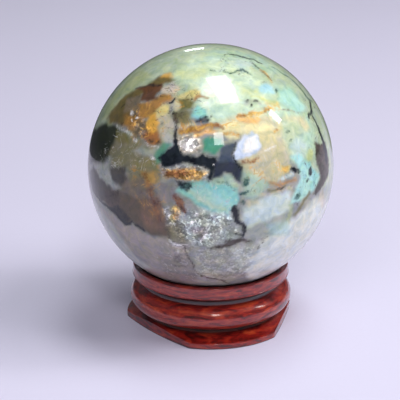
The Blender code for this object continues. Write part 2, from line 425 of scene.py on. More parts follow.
    ("silver", 1.0, 1.6, [(-9.6, -10.6), (-5, -10.2), (0, -10.8), (6, -11), (6.8, -15),
        (6.5, -17.4), (1, -19.4), (-5, -19.6), (-7, -15)]),
    ("skyWhite", 0.9, 1.6, [(-3, -9.4), (5, -10.2), (5.4, -12.6), (1, -12.4), (-1.6, -11.6)]),
    ("mauve", 0.85, 0.7, [(-4.6, -14.8), (-0.8, -14.8), (-1.6, -18), (-3.4, -17)]),
    ("pearl", 0.7, 1.4, [(-1, -16), (3, -15.6), (4.6, -17.4), (1, -19), (-1.8, -18.6)]),
    ("ash", 1.0, 1.2, [(-4.8, -19.8), (2, -19.8), (10.4, -18.8), (11.4, -21), (8, -25.8),
        (3.4, -29), (-2.4, -29), (-3.6, -25)]),
    ("pearl", 0.7, 2.4, [(5, -19.8), (10.6, -19), (11, -22), (7.6, -25), (5.4, -22.6)]),
    ("milkWhite", 1.0, 2.4, [(11, -21), (12, -17.4), (18, -13.2), (21, -12.4), (25, -8.4),
        (28.4, -7), (30, -9), (25, -20), (17, -26), (9.6, -28), (8.6, -25)]),
    ("skyWhite", 1.0, 1.8, [(7.4, -10), (9.6, -9.4), (13, -7.2), (19.4, -6.4), (20.6, -8.2),
        (19.4, -11), (13, -14), (8.6, -15)]),
    ("cream", 0.7, 1.2, (10.2, -8.8, 2.0, 0.8, 0)),
    ("cream", 0.6, 0.8, [(10, -6.2, 0.5), (13.6, -6.5, 0.6)]),
    ("mint", 0.8, 2.0, [(8, -1), (12, -2.4), (14, -5.2), (10, -8), (8, -7)]),
    ("silver", 0.9, 2.0, [(9.2, -15), (14, -13.8), (18.4, -11.2), (20, -12), (15.4, -16.4),
        (12, -18.2), (8.8, -17.4)]),
    ("aqua", 0.5, 2.4, [(14, -14.2), (19, -13.4), (19.4, -16.4), (15, -17)]),
    ("paleOlive", 0.7, 1.2, [(19.8, -8.6, 1.4), (19.4, -13.2, 1.6)]),
    ("pinkCream", 0.6, 1.6, (27.3, -8.0, 0.9, 2.0, 0)),
    # painted reflection of the lilac floor along the lower right rim
    ("lavender", 0.5, 2.0, [(27.6, -13, 1.0), (23, -19.6, 1.4), (18, -24.4, 1.2)]),
    # turquoise fan and the blue-green edge at the right, with painted reflection along the rim
    ("turquoise", 1.0, 1.2, [(-8.4, -5.8), (-4.6, -3.4), (-1, -3.8), (3, -4), (6.8, -5.2),
        (6.6, -8.2), (5.2, -10.4), (4, -11.6), (0, -10.6), (-2.8, -9.6), (-5, -8), (-7, -7)]),
    ("aqua", 0.9, 1.2, [(-4.4, -5), (-1, -4.6), (2, -7.4), (5, -9), (3, -10.6), (-1, -9.6),
        (-3.4, -7.6)]),
    ("paleMint", 0.7, 1.0, [(-5.4, -5.6, 0.8), (-2.6, -7.8, 1.2), (0.6, -9.4, 1.0),
        (4, -10.8, 0.8)]),
    ("mint", 0.8, 1.2, [(0.6, -2.8), (3.4, -2.2), (5.6, -2.8), (7, -4), (6.2, -5.4), (2.8, -4.2),
        (0.4, -4.2)]),
    ("turquoise", 0.7, 1.2, (5.8, -7.0, 0.9, 1.6, 0)),
    ("aqua", 1.0, 1.2, [(19.6, 2.2), (22, 2.8), (24, 1), (24.4, -0.8), (26.4, -1.2), (26.4, -4.2),
        (24.8, -6), (22, -8.2), (19.6, -9.2), (20.6, -5.6), (22, -2.8), (21.6, -0.4)]),
    ("turquoise", 0.8, 1.0, [(24, 0.6, 0.8), (25.8, -2, 1.4), (24.8, -5, 1.2)]),
    ("yellowGreen", 0.8, 1.0, (24.2, 2.9, 0.8, 1.5, -12)),
    ("straw", 0.9, 0.8, (18.5, -0.3, 1.3, 0.9, 0)),
    ("skyWhite", 0.8, 0.6, (18.2, -2.3, 2.0, 0.5, 5)),
    ("goldBrown", 0.75, 0.9, [(14.4, -3.8, 0.7), (17.6, -4.2, 1.1), (20.6, -3.4, 0.9)]),
    ("olive", 0.8, 0.7, [(14.0, -5.7, 0.5), (16.8, -5.6, 0.9), (18.2, -5, 0.6)]),
    ("cream", 0.6, 1.0, [(15, -6.4, 0.6), (19.6, -5.6, 0.7)]),
    ("olive", 0.8, 0.9, [(24, -6.6, 0.9), (22.6, -8.8, 1.1), (20.8, -11.6, 0.9)]),
    # painted reflection along the right rim
    ("pearl", 0.8, 0.8, [(28.9, 5), (30, 4), (30, -8), (28.2, -9), (27.4, -6), (28.8, -2)]),
]

# minerals with a crisp, broken edge, over that ground
frontVeins = [
    ("ochre", 0.75, 0.9, [(-7.6, 8.9, 0.7), (-3.5, 9.1, 1.0), (0.4, 9.5, 0.7)]),
    ("ochre", 0.8, 0.9, [(3.4, 8.2, 0.9), (6.8, 7.6, 0.8)]),
    ("ochre", 0.9, 0.8, (18.4, -0.3, 0.8, 0.6, 0)),
    ("ochre", 0.85, 1.0, [(-11.8, -0.8), (-8, -0.4), (-4, -0.6), (-1.2, -1.6), (-2.4, -3.4),
        (-5, -3.3), (-8.2, -3.2), (-11.4, -2.4)]),
    ("ochre", 0.8, 0.8, [(12, 23.7, 0.7), (13.2, 22.8, 0.8), (14.2, 21.8, 0.9), (14.8, 20.4, 0.5)]),
    ("ochre", 0.9, 0.8, [(7.2, 12.3, 0.6), (11, 12.9, 0.9), (13.2, 13.9, 0.8), (15.2, 14.4, 0.5)]),
    ("ochre", 0.7, 0.8, (15.8, 8.7, 0.7, 0.5, 20)),
    ("ochre", 0.6, 1.0, (-8.6, -11.4, 0.8, 2.2, 8)),
    ("rust", 0.6, 1.4, [(-16.2, -1.8, 1.2), (-14.8, -5.6, 1.4), (-13.4, -9.2, 1.4),
        (-12.6, -13.4, 0.7)]),
    ("rust", 0.9, 0.8, [(-8.9, -6.9, 0.9), (-8, -8.6, 1.5), (-6.9, -10.4, 1.6),
        (-6.6, -11.2, 0.6)]),
    ("rust", 0.9, 0.8, [(-10.8, -0.9), (-6.6, -0.4), (-5.6, -1.8), (-8, -2.9), (-10.8, -2.4)]),
    ("rust", 0.75, 0.6, [(7.5, 1, 0.5), (10.5, 1.7, 0.6), (12, 2.3, 0.4)]),
    ("rust", 0.7, 0.5, [(1, 10.3, 0.5), (3, 9.6, 0.5)]),
    ("rust", 0.7, 0.5, [(6.8, 12.1, 0.5), (8.2, 12.6, 0.5)]),
    ("rust", 0.5, 0.5, [(17, 14.3, 0.3), (20.2, 13.5, 0.4), (23, 13, 0.3)]),
    ("frost", 0.85, 0.8, [(-7.8, 4.4), (-5, 3.4), (-3, 4.8), (-3.4, 7), (-6.2, 7.2), (-8, 6)]),
    ("frost", 0.8, 0.6, (-1.4, 0.6, 1.3, 0.5, 10)),
    ("frost", 0.75, 0.5, (-11.2, -1.6, 0.7, 0.3, 20)),
    ("frost", 0.9, 0.5, [(-10.9, -10.4, 0.5), (-9.9, -11.6, 0.6), (-10.4, -12.9, 0.4)]),
    ("frost", 0.8, 0.5, [(-10, -17.9, 0.4), (-8, -18.9, 0.6), (-6, -19.8, 0.4)]),
    ("frost", 0.9, 0.4, (-8.5, -14.4, 0.45, 0.35, 0)),
    ("frost", 0.9, 0.4, (-3.3, -11.7, 0.5, 0.4, 0)),
    ("frost", 0.8, 0.4, (-4.2, -13.5, 0.7, 0.35, 10)),
    ("frost", 0.8, 0.5, [(-2.2, -18, 0.4), (-0.6, -15.6, 0.6)]),
    ("frost", 0.7, 0.5, (-8.1, -20.7, 0.3, 0.5, 0)),
    ("frost", 0.6, 0.4, [(-23, 9.8, 0.4), (-20.4, 8.2, 0.4), (-19, 7.8, 0.3)]),
    ("frost", 0.7, 0.4, [(-18.4, 7, 0.4), (-17.6, 6, 0.5)]),
    ("frost", 0.5, 0.4, [(-15.4, 5.6, 0.4), (-12.8, 4.6, 0.4)]),
    ("frost", 0.8, 0.4, (-19.3, 13.3, 0.4, 0.4, 0)),
    ("frost", 0.8, 0.4, (-17.7, 12.2, 0.4, 0.3, 30)),
    ("frost", 0.7, 0.4, (-19.2, 11.5, 0.3, 0.4, 0)),
    ("frost", 0.8, 0.4, (-14, 2.1, 0.4, 0.4, 0)),
    ("frost", 0.6, 0.5, [(13.2, 4, 0.3), (15.6, 5, 0.5)]),
    ("pine", 0.95, 0.6, (8.3, -6.3, 1.4, 0.5, 8)),
    ("pine", 0.85, 0.8, (8.4, -3.6, 0.8, 0.9, 0)),
    ("pine", 0.85, 0.5, (7.5, -8.8, 0.8, 0.35, 45)),
    ("pine", 0.85, 0.6, (21.3, -7, 0.5, 0.9, -35)),
    ("pine", 0.85, 0.7, [(14.8, 24.3, 0.5), (17, 23, 0.5), (19, 21.8, 0.6), (20.8, 20.3, 0.8),
        (22, 18.7, 0.7), (23.5, 17, 0.8), (24.5, 16, 0.9)]),
    ("pine", 0.75, 0.5, [(0, 23.5, 0.4), (1.3, 23.3, 0.4)]),
    ("pine", 0.85, 0.5, [(3, 23.4, 0.5), (5, 22.9, 0.4), (6, 23.2, 0.6), (7.5, 23.5, 0.6),
        (9.8, 22.2, 0.5)]),
    ("pine", 0.5, 0.7, [(1.6, -3.2, 0.4), (4, -4.2, 0.5), (6.2, -5.6, 0.5)]),
    ("pine", 0.8, 0.5, (15.9, 18.6, 0.5, 0.4, 0)),
    ("pine", 0.6, 0.4, (18.6, 8.7, 0.4, 0.4, 0)),
    ("pine", 0.6, 0.4, (19.7, 6.6, 0.4, 0.5, 0)),
    ("umber", 0.97, 0.9, [(25.4, 5.4), (27.8, 6.2), (28.8, 1.5), (28.7, -2), (27.9, -4),
        (26.3, -6.2), (25.6, -7), (25.1, -6.5), (25.8, -4.8), (26.6, -3), (26.5, -1),
        (25.9, 1.6)]),
    ("umber", 0.95, 0.8, [(-1, -19.8), (2.4, -19.2), (4.5, -17.8), (6.5, -17.5), (10.6, -18.2),
        (7, -18.7), (4.6, -19.4), (2, -20.1)]),
    ("umber", 0.85, 1.2, [(-25.8, -5.8), (-22.6, -5.8), (-22, -8.8), (-23.6, -9.8), (-25.6, -8.8)]),
    ("umber", 0.8, 0.8, (-8.3, 11.5, 0.5, 2.0, 4)),
    ("umber", 0.9, 0.5, [(-9, 4.2, 0.8), (-8.3, 9.3, 0.6)]),
    ("umber", 0.5, 1.4, (-7, 12.5, 1.0, 1.0, 0)),
    ("umber", 0.85, 0.5, [(-18.2, 19.3, 0.4), (-14.2, 20, 0.7), (-12, 20, 0.5)]),
    ("umber", 0.75, 0.5, [(-3.2, -26.2, 0.5), (-1.5, -26.8, 0.7), (1, -27.3, 0.7),
        (3, -27.9, 0.6), (4.6, -28.5, 0.4)]),
    ("umber", 0.8, 0.5, [(-6.4, -19.8, 0.4), (-5.5, -21.8, 0.4), (-4.3, -24.3, 0.4),
        (-3.2, -25.8, 0.4)]),
    ("umber", 0.35, 1.6, (-8, -22.5, 1.2, 1.0, 0)),
    ("umber", 0.4, 0.8, [(-8.6, -24.3, 0.6), (-6, -24.2, 0.5)]),
    ("umber", 0.8, 0.5, (17.2, -5.3, 0.9, 0.3, 15)),
    ("umber", 0.8, 0.5, [(12.4, 23.2, 0.3), (14.2, 21.6, 0.5), (14.9, 20.4, 0.3)]),
    ("umber", 0.7, 0.4, (-16.5, 7.7, 0.35, 0.35, 0)),
    ("umber", 0.7, 0.4, (-14.5, 6.5, 0.35, 0.35, 0)),
    ("umber", 0.7, 0.4, (-12.8, 5.5, 0.4, 0.35, 0)),
    ("umber", 0.6, 0.4, (12.8, -18.3, 0.45, 0.4, 0)),
    ("umber", 0.55, 0.5, (11.7, -19.5, 0.4, 0.6, -20)),
    ("umber", 0.55, 0.5, [(11.8, -17.8, 0.3), (13.8, -17, 0.4)]),
    ("umber", 0.7, 0.8, (-7.6, -10.3, 0.5, 0.8, 20)),
    ("umber", 0.6, 0.8, [(-10.8, -15.4, 0.4), (-10.2, -17.6, 0.5), (-6.8, -19, 0.5)]),
    ("ink", 1.0, 0.8, [(-12.6, 2.6), (-10.5, 4.4), (-9.4, 5.2), (-8.8, 7.5), (-8.2, 9.4),
        (-7.9, 7), (-7.7, 4.4), (-6.6, 3), (-4.6, 2.2), (-2.6, 2.4), (-1.6, 3.4), (-0.6, 2.6),
        (1.3, 2.6), (1.1, 1), (0.9, -1), (0.4, -2.6), (-0.2, -3.8), (-1, -2.8), (-0.6, -0.8),
        (-3.4, 0.2), (-6, 0.9), (-8, 0.4), (-11.8, -0.2)]),
    ("ink", 0.75, 0.5, [(5.9, 5.6, 0.4), (5.7, 3, 0.5), (6.4, 1, 0.6), (7.4, 0, 0.6)]),
    ("ink", 0.9, 0.8, [(-8.6, -3.7), (-6.4, -3.9), (-5, -3.4), (-4.4, -4.8), (-5.6, -5.9),
        (-7, -5.8)]),
    ("ink", 1.0, 0.5, [(5.5, -9.9, 1.0), (6.2, -11.6, 1.1), (6.9, -13.3, 1.1), (8, -14.7, 1.2),
        (8.1, -16.4, 1.0), (7.8, -17.5, 0.6)]),
    ("ink", 0.9, 0.4, [(6.2, -16.3, 0.4), (7.8, -16.9, 0.5)]),
    ("ink", 1.0, 0.6, (20.3, -1.2, 0.8, 0.75, 0)),
    ("ink", 0.8, 0.6, (21.5, -1, 0.6, 0.5, 0)),
    ("ink", 0.95, 0.6, (24.4, -0.9, 0.55, 1.15, 0)),
    ("ink", 0.95, 0.4, (23.6, -3.2, 0.4, 0.5, 0)),
    ("ink", 1.0, 0.6, [(24, 16.2, 1.0), (24.5, 14, 1.3), (24.3, 11.6, 0.9)]),
    ("ink", 1.0, 0.6, [(24.8, 12.2, 0.7), (26.3, 9.6, 1.1), (27.5, 6.2, 1.2), (28.1, 3, 1.1),
        (28.4, 0.6, 0.8)]),
    ("ink", 0.9, 0.5, [(3.5, 27.2, 0.3), (6.2, 27.2, 0.7), (9, 26.3, 0.9), (10.5, 26, 0.6),
        (11.5, 25.3, 0.8), (12.6, 24.8, 0.4)]),
    ("ink", 0.8, 0.4, [(10, 25.3, 0.4), (11.6, 24.1, 0.5)]),
    ("ink", 0.97, 0.5, [(-28.4, -6.4, 0.5), (-27.2, -8.2, 0.6), (-25.3, -9.7, 0.8),
        (-22.8, -11.7, 1.2), (-20.5, -14.3, 1.1), (-18.9, -13.6, 0.5), (-17.6, -14.3, 0.6),
        (-16.2, -15.5, 0.5)]),
    ("ink", 0.8, 1.2, [(-25, -9.8), (-22.4, -9.4), (-19.6, -12.8), (-20.2, -14.4), (-22.6, -12.4)]),
    ("ink", 0.9, 0.8, [(-29.7, 1.5, 1.2), (-29.2, 6, 1.4), (-28.2, 10.6, 0.9), (-26.6, 14, 0.4)]),
    ("ink", 0.95, 0.4, [(-10.1, 15.6, 0.6), (-8.8, 16.2, 0.5)]),
    ("ink", 0.9, 0.4, [(-22, 14, 0.5), (-21, 15.1, 0.4)]),
    ("ink", 0.85, 0.4, (-8.7, 13.2, 0.3, 0.5, 10)),
    ("ink", 0.6, 0.4, (-12, 10.5, 0.4, 0.4, 0)),
    ("ink", 0.8, 0.4, (-3.5, 10.8, 0.4, 0.35, 0)),
    ("ink", 0.8, 0.4, (-2.5, 11.4, 0.35, 0.4, 0)),
    ("ink", 0.8, 0.4, (-1.2, 12.2, 0.4, 0.35, 0)),
    ("ink", 0.8, 0.4, (-0.6, 11, 0.4, 0.4, 0)),
    ("ink", 0.75, 0.4, (8.8, 15.8, 0.4, 0.3, 0)),
    ("ink", 0.75, 0.4, (10.2, 14.6, 0.5, 0.3, -30)),
    ("ink", 0.75, 0.4, (11.2, 15.6, 0.6, 0.3, 10)),
    ("ink", 0.7, 0.4, (0.4, 12.4, 0.35, 0.35, 0)),
    # crystals that glitter, and zones of fine dark, golden and pale veinlets
    ("crystal", 1.0, 2.0, [(-11.5, -9.5), (-6, -10.5), (-1, -11), (5, -12), (6.6, -16),
        (3, -18.4), (-2, -19.4), (-7, -18.4), (-10.4, -15)]),
    ("crystal", 1.0, 1.0, [(-12, 0), (-1, 0.8), (-1, -3), (-5, -3.4), (-12, -2.6)]),
    ("crystal", 1.0, 1.0, [(-8.4, 3.6), (-2.4, 3.2), (-2.4, 8), (-8.4, 8)]),
    ("crystal", 0.4, 2.0, [(-3.8, -19.6), (10.6, -19), (9, -27), (-2, -27.5)]),
    ("crystal", 0.6, 1.5, [(-20, 14), (-17, 13.6), (-14, 8), (-18, 7), (-20, 11)]),
    ("crystal", 0.5, 1.5, [(-10.6, -17.4), (-4, -19.4), (-5, -21.4), (-9.8, -20.6)]),
    ("darkWisps", 1.0, 2.5, [(-23, 9), (-21, 16), (-13, 21), (-8, 20), (-2, 18), (-1, 12),
        (-2, 8), (-8, 9), (-12, 4), (-17, 5)]),
    ("darkWisps", 0.8, 2.0, [(2, 28), (12, 26), (16, 20), (11, 20), (8, 21.6), (2, 22)]),
    ("darkWisps", 0.9, 1.5, [(22, 18), (25, 17), (27, 9), (29, 2), (27, -5), (23, -6), (22, 0),
        (24, 8)]),
    ("darkWisps", 0.8, 1.5, [(12, -2.5), (20, -1), (24, -4), (22, -11), (17, -6.5), (12, -5)]),
    ("darkWisps", 0.7, 2.0, [(-28, -1), (-20, 1), (-14, -4), (-11, -12), (-12, -17), (-20, -13),
        (-27, -8)]),
    ("darkWisps", 0.7, 1.5, [(-13, 0), (0, 0), (1, -4), (-8, -6), (-13, -3)]),
    ("darkWisps", 0.6, 1.5, [(6, -2), (10, -1), (12, -6), (9, -10), (5, -6)]),
    ("goldWisps", 1.0, 2.0, [(-21, 8), (-19, 14), (-11, 18), (-9, 14), (-12, 5), (-16, 5)]),
    ("goldWisps", 0.9, 1.5, [(-9, 19), (-1, 19), (0, 16), (-6, 13), (-9, 15)]),
    ("goldWisps", 0.9, 1.5, [(-8, 11), (4, 11), (17, 16), (16, 12), (6, 9), (0, 7), (-7, 7)]),
    ("goldWisps", 0.8, 1.5, [(8, 2), (18, 1), (21, -3), (18, -6), (11, -6), (9, -3)]),
    ("goldWisps", 0.7, 1.5, [(-20, 0), (-12, 0), (-11, -12), (-16, -12)]),
    ("paleWisps", 0.8, 2.0, [(-28, 2), (-22, 9), (-14, 6), (-12, 0), (-20, -2)]),
    ("paleWisps", 0.6, 2.5, [(-14, -20), (-6, -19), (4, -20), (9, -22), (4, -28), (-10, -27)]),
    ("paleWisps", 0.8, 1.5, [(-7, -4), (7, -4), (6, -12), (-3, -10)]),
    ("paleWisps", 0.6, 2.0, [(12, 3), (18, 7), (24, 4), (20, -8), (12, -8)]),
]

# plainer growth for the rest of the ball, as it looks from behind and from the sides
backGround = [
    ("sageMint", 1.0, 5.0, [(-31, -2), (-28, 14), (-10, 29), (10, 29), (28, 14), (30, 4), (16, 2),
        (2, 8), (-14, 2)]),
    ("milkWhite", 1.0, 6.0, [(-31, -4), (-16, 1), (0, 2), (10, -8), (8, -29), (-16, -27),
        (-27, -16)]),
    ("lavender", 1.0, 5.0, [(12, -6), (30, -6), (27, -16), (14, -28), (2, -28), (4, -14)]),
    ("paleMint", 0.9, 4.0, [(-16, 10), (-6, 18), (8, 20), (12, 12), (2, 10), (-8, 6)]),
    ("cream", 0.9, 3.0, [(0, 12), (9, 14), (15, 9), (9, 5), (2, 7)]),
    ("smoke", 0.95, 3.5, [(10, 4), (18, 8), (29, 6), (29, -6), (18, -11), (10, -6)]),
    ("darkSmoke", 0.9, 2.5, [(22, 8), (29, 8), (29, -2), (24, -2)]),
    ("taupe", 0.8, 2.5, [(9, 0), (15, 2), (19, -6), (14, -11), (8, -7)]),
    ("amber", 0.9, 1.8, [(5, 6), (9, 7), (11, 3), (7, 0), (4, 2)]),
    ("rustBrown", 0.9, 1.6, [(10, 2), (14, 3), (15, -2), (11, -5), (8, -2)]),
    ("aqua", 1.0, 2.5, [(-12, 5), (-3, 8), (3, 6), (3, -1), (-5, -4), (-12, 0)]),
    ("turquoise", 0.9, 2.0, [(-8, 4), (-2, 5), (0, 0), (-5, -2)]),
    ("aqua", 0.8, 2.5, [(-29, 6), (-22, 8), (-19, 1), (-24, -5), (-30, -3)]),
    ("skyWhite", 0.8, 3.0, [(-14, -4), (-2, -5), (2, -12), (-10, -14)]),
    ("oliveBrown", 0.9, 1.8, [(-16, 12), (-10, 15), (-6, 13), (-8, 9), (-14, 9)]),
    ("amber", 0.8, 1.4, [(-12, 14, 1.0), (-6, 15.6, 1.4), (0, 17, 0.7)]),
    ("pureWhite", 0.9, 1.4, [(-2, 3), (3, 4.4), (5, 1.6), (1, -0.4)]),
    ("silver", 0.8, 3.0, [(-4, -14), (6, -12), (8, -20), (-2, -22)]),
]
backVeins = [
    ("ink", 0.97, 0.8, [(-16, 4, 0.8), (-12, 2, 1.6), (-7, -2, 2.6), (-3, -3, 1.6), (1, -7, 0.8)]),
    ("ink", 0.95, 0.6, [(-3, -3, 1.2), (0, 2, 1.0), (3, 7, 1.4), (2, 12, 0.6)]),
    ("ink", 0.9, 1.2, [(12, -4), (17, -5), (20, -10), (15, -12), (11, -8)]),
    ("pine", 0.85, 1.2, [(-10, 1), (-6, 2), (-4, -2), (-9, -3)]),
    ("umber", 0.85, 0.7, [(15, -12, 1.0), (8, -16, 0.7), (0, -17, 0.9), (-8, -21, 0.5)]),
    ("umber", 0.8, 0.6, [(-16, 12, 0.6), (-9, 15, 0.8), (-3, 15.4, 0.5), (3, 18, 0.4)]),
    ("rust", 0.8, 1.0, [(-14, 11, 0.8), (-10, 14, 1.4), (-4, 14, 0.8)]),
    ("ochre", 0.85, 1.2, [(3, 8, 0.8), (8, 5, 1.6), (11, 0, 1.0)]),
    ("frost", 0.8, 0.8, [(-1, 2), (2.4, 3.4), (4, 1.4), (1, 0)]),
    ("crystal", 0.9, 2.0, [(-6, -13), (8, -11), (10, -20), (-2, -23)]),
    ("crystal", 0.9, 1.5, [(3, 8), (12, 8), (12, 0), (3, 0)]),
    ("darkWisps", 0.9, 3.0, [(-18, 12), (-2, 18), (6, 14), (14, 6), (20, -8), (8, -12), (-6, -6),
        (-16, 0)]),
    ("goldWisps", 0.9, 3.0, [(-17, 14), (0, 18), (14, 12), (16, -4), (4, -4), (-6, 8)]),
    ("paleWisps", 0.8, 4.0, [(-20, -2), (0, -2), (20, -10), (8, -26), (-14, -24)]),
]
rightGround = [
    ("cream", 0.8, 3.0, [(-3, 8), (6, 10), (12, 4), (6, 0), (-2, 3)]),
    ("skyWhite", 0.8, 3.0, [(-4, -4), (6, -3), (8, -10), (-2, -12)]),
    ("amber", 0.85, 1.6, [(0, 6), (4, 7), (7, 4), (3, 2)]),
    ("turquoise", 0.9, 2.0, [(-6, 1), (-1, 3), (0, -3), (-5, -5)]),
    ("paleOlive", 0.7, 3.0, [(-4, 18), (6, 20), (10, 13), (0, 12)]),
]
rightVeins = [
    ("ink", 0.95, 0.8, [(-4, 5, 1.0), (1, 2, 1.8), (6, 4, 1.2), (12, 3, 0.7)]),
    ("rust", 0.8, 1.0, [(6, 8, 0.8), (11, 7, 1.4), (15, 3, 0.8)]),
    ("darkWisps", 0.9, 3.0, [(-8, 8), (10, 12), (14, 0), (2, -6), (-8, -4)]),
    ("goldWisps", 0.8, 3.0, [(-2, 10), (10, 10), (10, 0), (-2, 0)]),
]
leftGround = [
    ("oliveGrey", 0.9, 3.0, [(-8, 12), (2, 16), (8, 10), (4, 4), (-6, 5)]),
    ("smoke", 0.95, 3.0, [(-8, 5), (6, 6), (8, -5), (2, -12), (-8, -9)]),
    ("goldBrown", 0.9, 1.8, [(-4, 10), (2, 12), (3, 8), (-2, 7)]),
    ("pearl", 0.7, 4.0, [(-10, -14), (4, -14), (10, -22), (-6, -25)]),
    ("redTaupe", 0.8, 2.0, [(-4, 1), (3, 2), (2, -6), (-4, -6)]),
]
leftVeins = [
    ("ink", 0.95, 0.8, [(10, -4, 1.0), (4, -9, 1.6), (-3, -10, 1.0), (-10, -14, 0.7)]),
    ("umber", 0.85, 1.4, [(-8, 2), (-4, 3), (-4, -2), (-8, -3)]),
    ("darkWisps", 0.8, 3.0, [(-10, 12), (8, 12), (10, -8), (-8, -10)]),
]

# each crisp mineral's darker and lighter colour, in the order they lie over each other
mineralColours = {
    "paleWisps": ((0.55, 0.55, 0.48), (0.80, 0.80, 0.74)),
    "goldWisps": ((0.42, 0.17, 0.02), (0.86, 0.52, 0.12)),
    "ochre": ((0.36, 0.15, 0.02), (0.86, 0.54, 0.14)),
    "rust": ((0.09, 0.022, 0.008), (0.36, 0.15, 0.06)),
    "frost": ((0.62, 0.60, 0.60), (0.95, 0.93, 0.90)),
    "pine": ((0.008, 0.045, 0.042), (0.03, 0.12, 0.11)),
    "darkWisps": ((0.03, 0.020, 0.010), (0.12, 0.07, 0.03)),
    "umber": ((0.022, 0.014, 0.010), (0.085, 0.062, 0.050)),
    "ink": ((0.003, 0.005, 0.009), (0.016, 0.024, 0.034)),
}
# the minerals that run as thin lines, and each line's half width in its noise
veinlets = {"paleWisps": 0.020, "goldWisps": 0.035, "darkWisps": 0.018}

stonePlan = {
    "bendSizes": ((2.6 * mm, 0.75), (0.9 * mm, 0.28)),  # size of each wobble, its reach in mm
    "bendSeed": 4,  # the noise module is otherwise seeded from the clock
    "viewReach": math.radians(125),  # how far round the ball a view's rows can lie
    "rowMargin": 3.0,  # mm around a row within which points are measured
    "frontSeam": 0.15,  # width of the change from the front to the sides, as a cosine
    "spotCorners": 14,
    "mottleSize": 2.4 * mm,
    "raggedSize": 0.55 * mm,
    "raggedness": 2.0,
    "threadSize": 4.5 * mm,
    "facetSize": 1.1 * mm,
    "glitterSize": 0.45 * mm,
    "groundNoise": (0.3, 0.7),  # the part of the noise that changes the ground
    "groundShade": (0.80, 1.18),
    "groundTint": (0.90, 1.10),
    "veinletNoise": (0.42, 0.60),  # veinlets fade out below this and are whole above it
    "mineralNoise": (0.36, 0.64),
    "facetLight": (0.55, 1.7),
    "glitterNoise": (0.5, 1.0),
    "glitterLight": (0.8, 1.7),
    "mottleOverlay": 0.22,
    "roughness": (0.22, 0.42),
    "facetDepth": 0.25 * mm,
    "facetBump": 0.5,
    "underPolishGloss": 0.1,
    "polish": 0.85,
    "polishRoughness": 0.03,
    "polishIor": 1.5,
}


def flatPlace(across, up, distance=None):
    # picture millimetres to millimetres over the ball, spread flat from the view's middle
    radius = ballPlan["radius"] / mm
    reach = max(1e-6, math.hypot(across, up))
    part = min(reach, 0.999 * radius) / radius
    if distance:
        tilt = math.atan(part * radius / math.sqrt(distance**2 - radius**2))
        turn = math.asin(min(1.0, distance / radius * math.sin(tilt))) - tilt
    else:
        turn = math.asin(part)
    return radius * turn * across / reach, radius * turn * up / reach


def spotOutline(across, up, halfWidth, halfHeight, turn):
    c, s = math.cos(math.radians(turn)), math.sin(math.radians(turn))
    corners = stonePlan["spotCorners"]
    outline = []
    for step in range(corners):
        angle = 2 * math.pi * step / corners
        x = halfWidth * math.cos(angle)
        y = halfHeight * math.sin(angle)
        outline.append((across + x * c - y * s, up + x * s + y * c))
    return outline


def lineDistance(x, y, start, end, startWidth=0.0, endWidth=0.0):
    dx, dy = end[0] - start[0], end[1] - start[1]
    along = ((x - start[0]) * dx + (y - start[1]) * dy) / (dx * dx + dy * dy + 1e-9)
    along = np.clip(along, 0, 1)
    gap = np.hypot(x - start[0] - along * dx, y - start[1] - along * dy)
    return gap - (startWidth + (endWidth - startWidth) * along) / 2


def outlineOf(shape):
    return spotOutline(*shape) if isinstance(shape, tuple) else shape


def shapeDepth(x, y, shape, distance):
    # signed distance to the shape's edge in mm, positive inside it
    ends = [(*flatPlace(p[0], p[1], distance), *p[2:]) for p in outlineOf(shape)]
    gap = np.full_like(x, 1e3)
    if len(ends[0]) == 3:
        for a, b in zip(ends, ends[1:]):
            gap = np.minimum(gap, lineDistance(x, y, a, b, a[2], b[2]))
        return -gap
    inside = np.zeros(x.shape, bool)
    for a, b in zip(ends, ends[1:] + ends[:1]):
        gap = np.minimum(gap, lineDistance(x, y, a, b))
        crosses = (a[1] > y) != (b[1] > y)
        slope = (b[0] - a[0]) / (b[1] - a[1] if b[1] != a[1] else 1e-9)
        inside ^= crosses & (x < a[0] + (y - a[1]) * slope)
    return np.where(inside, gap, -gap)


def layRows(normals, axes, rows, distance=None):
    # for each row, the points of the ball that it reaches and how much of it lies there
    towards, right, up = (np.array(axis) for axis in axes)
    radius = ballPlan["radius"] / mm
    turn = np.arccos(np.clip(normals @ towards, -1, 1))
    sine = np.maximum(np.sin(turn), 1e-6)
    x = radius * turn * (normals @ right) / sine
    y = radius * turn * (normals @ up) / sine
    near = turn < stonePlan["viewReach"]
    for name, strength, soft, shape in rows:
        ends = np.array([flatPlace(p[0], p[1], distance) for p in outlineOf(shape)])
        margin = soft + stonePlan["rowMargin"]
        low, high = ends.min(axis=0) - margin, ends.max(axis=0) + margin
        inside = (x > low[0]) & (x < high[0]) & (y > low[1]) & (y < high[1])
        reached = np.flatnonzero(near & inside)
        depth = shapeDepth(x[reached], y[reached], shape, distance)
        part = np.clip(0.5 + depth / soft, 0, 1)
        yield name, reached, strength * part * part * (3 - 2 * part)


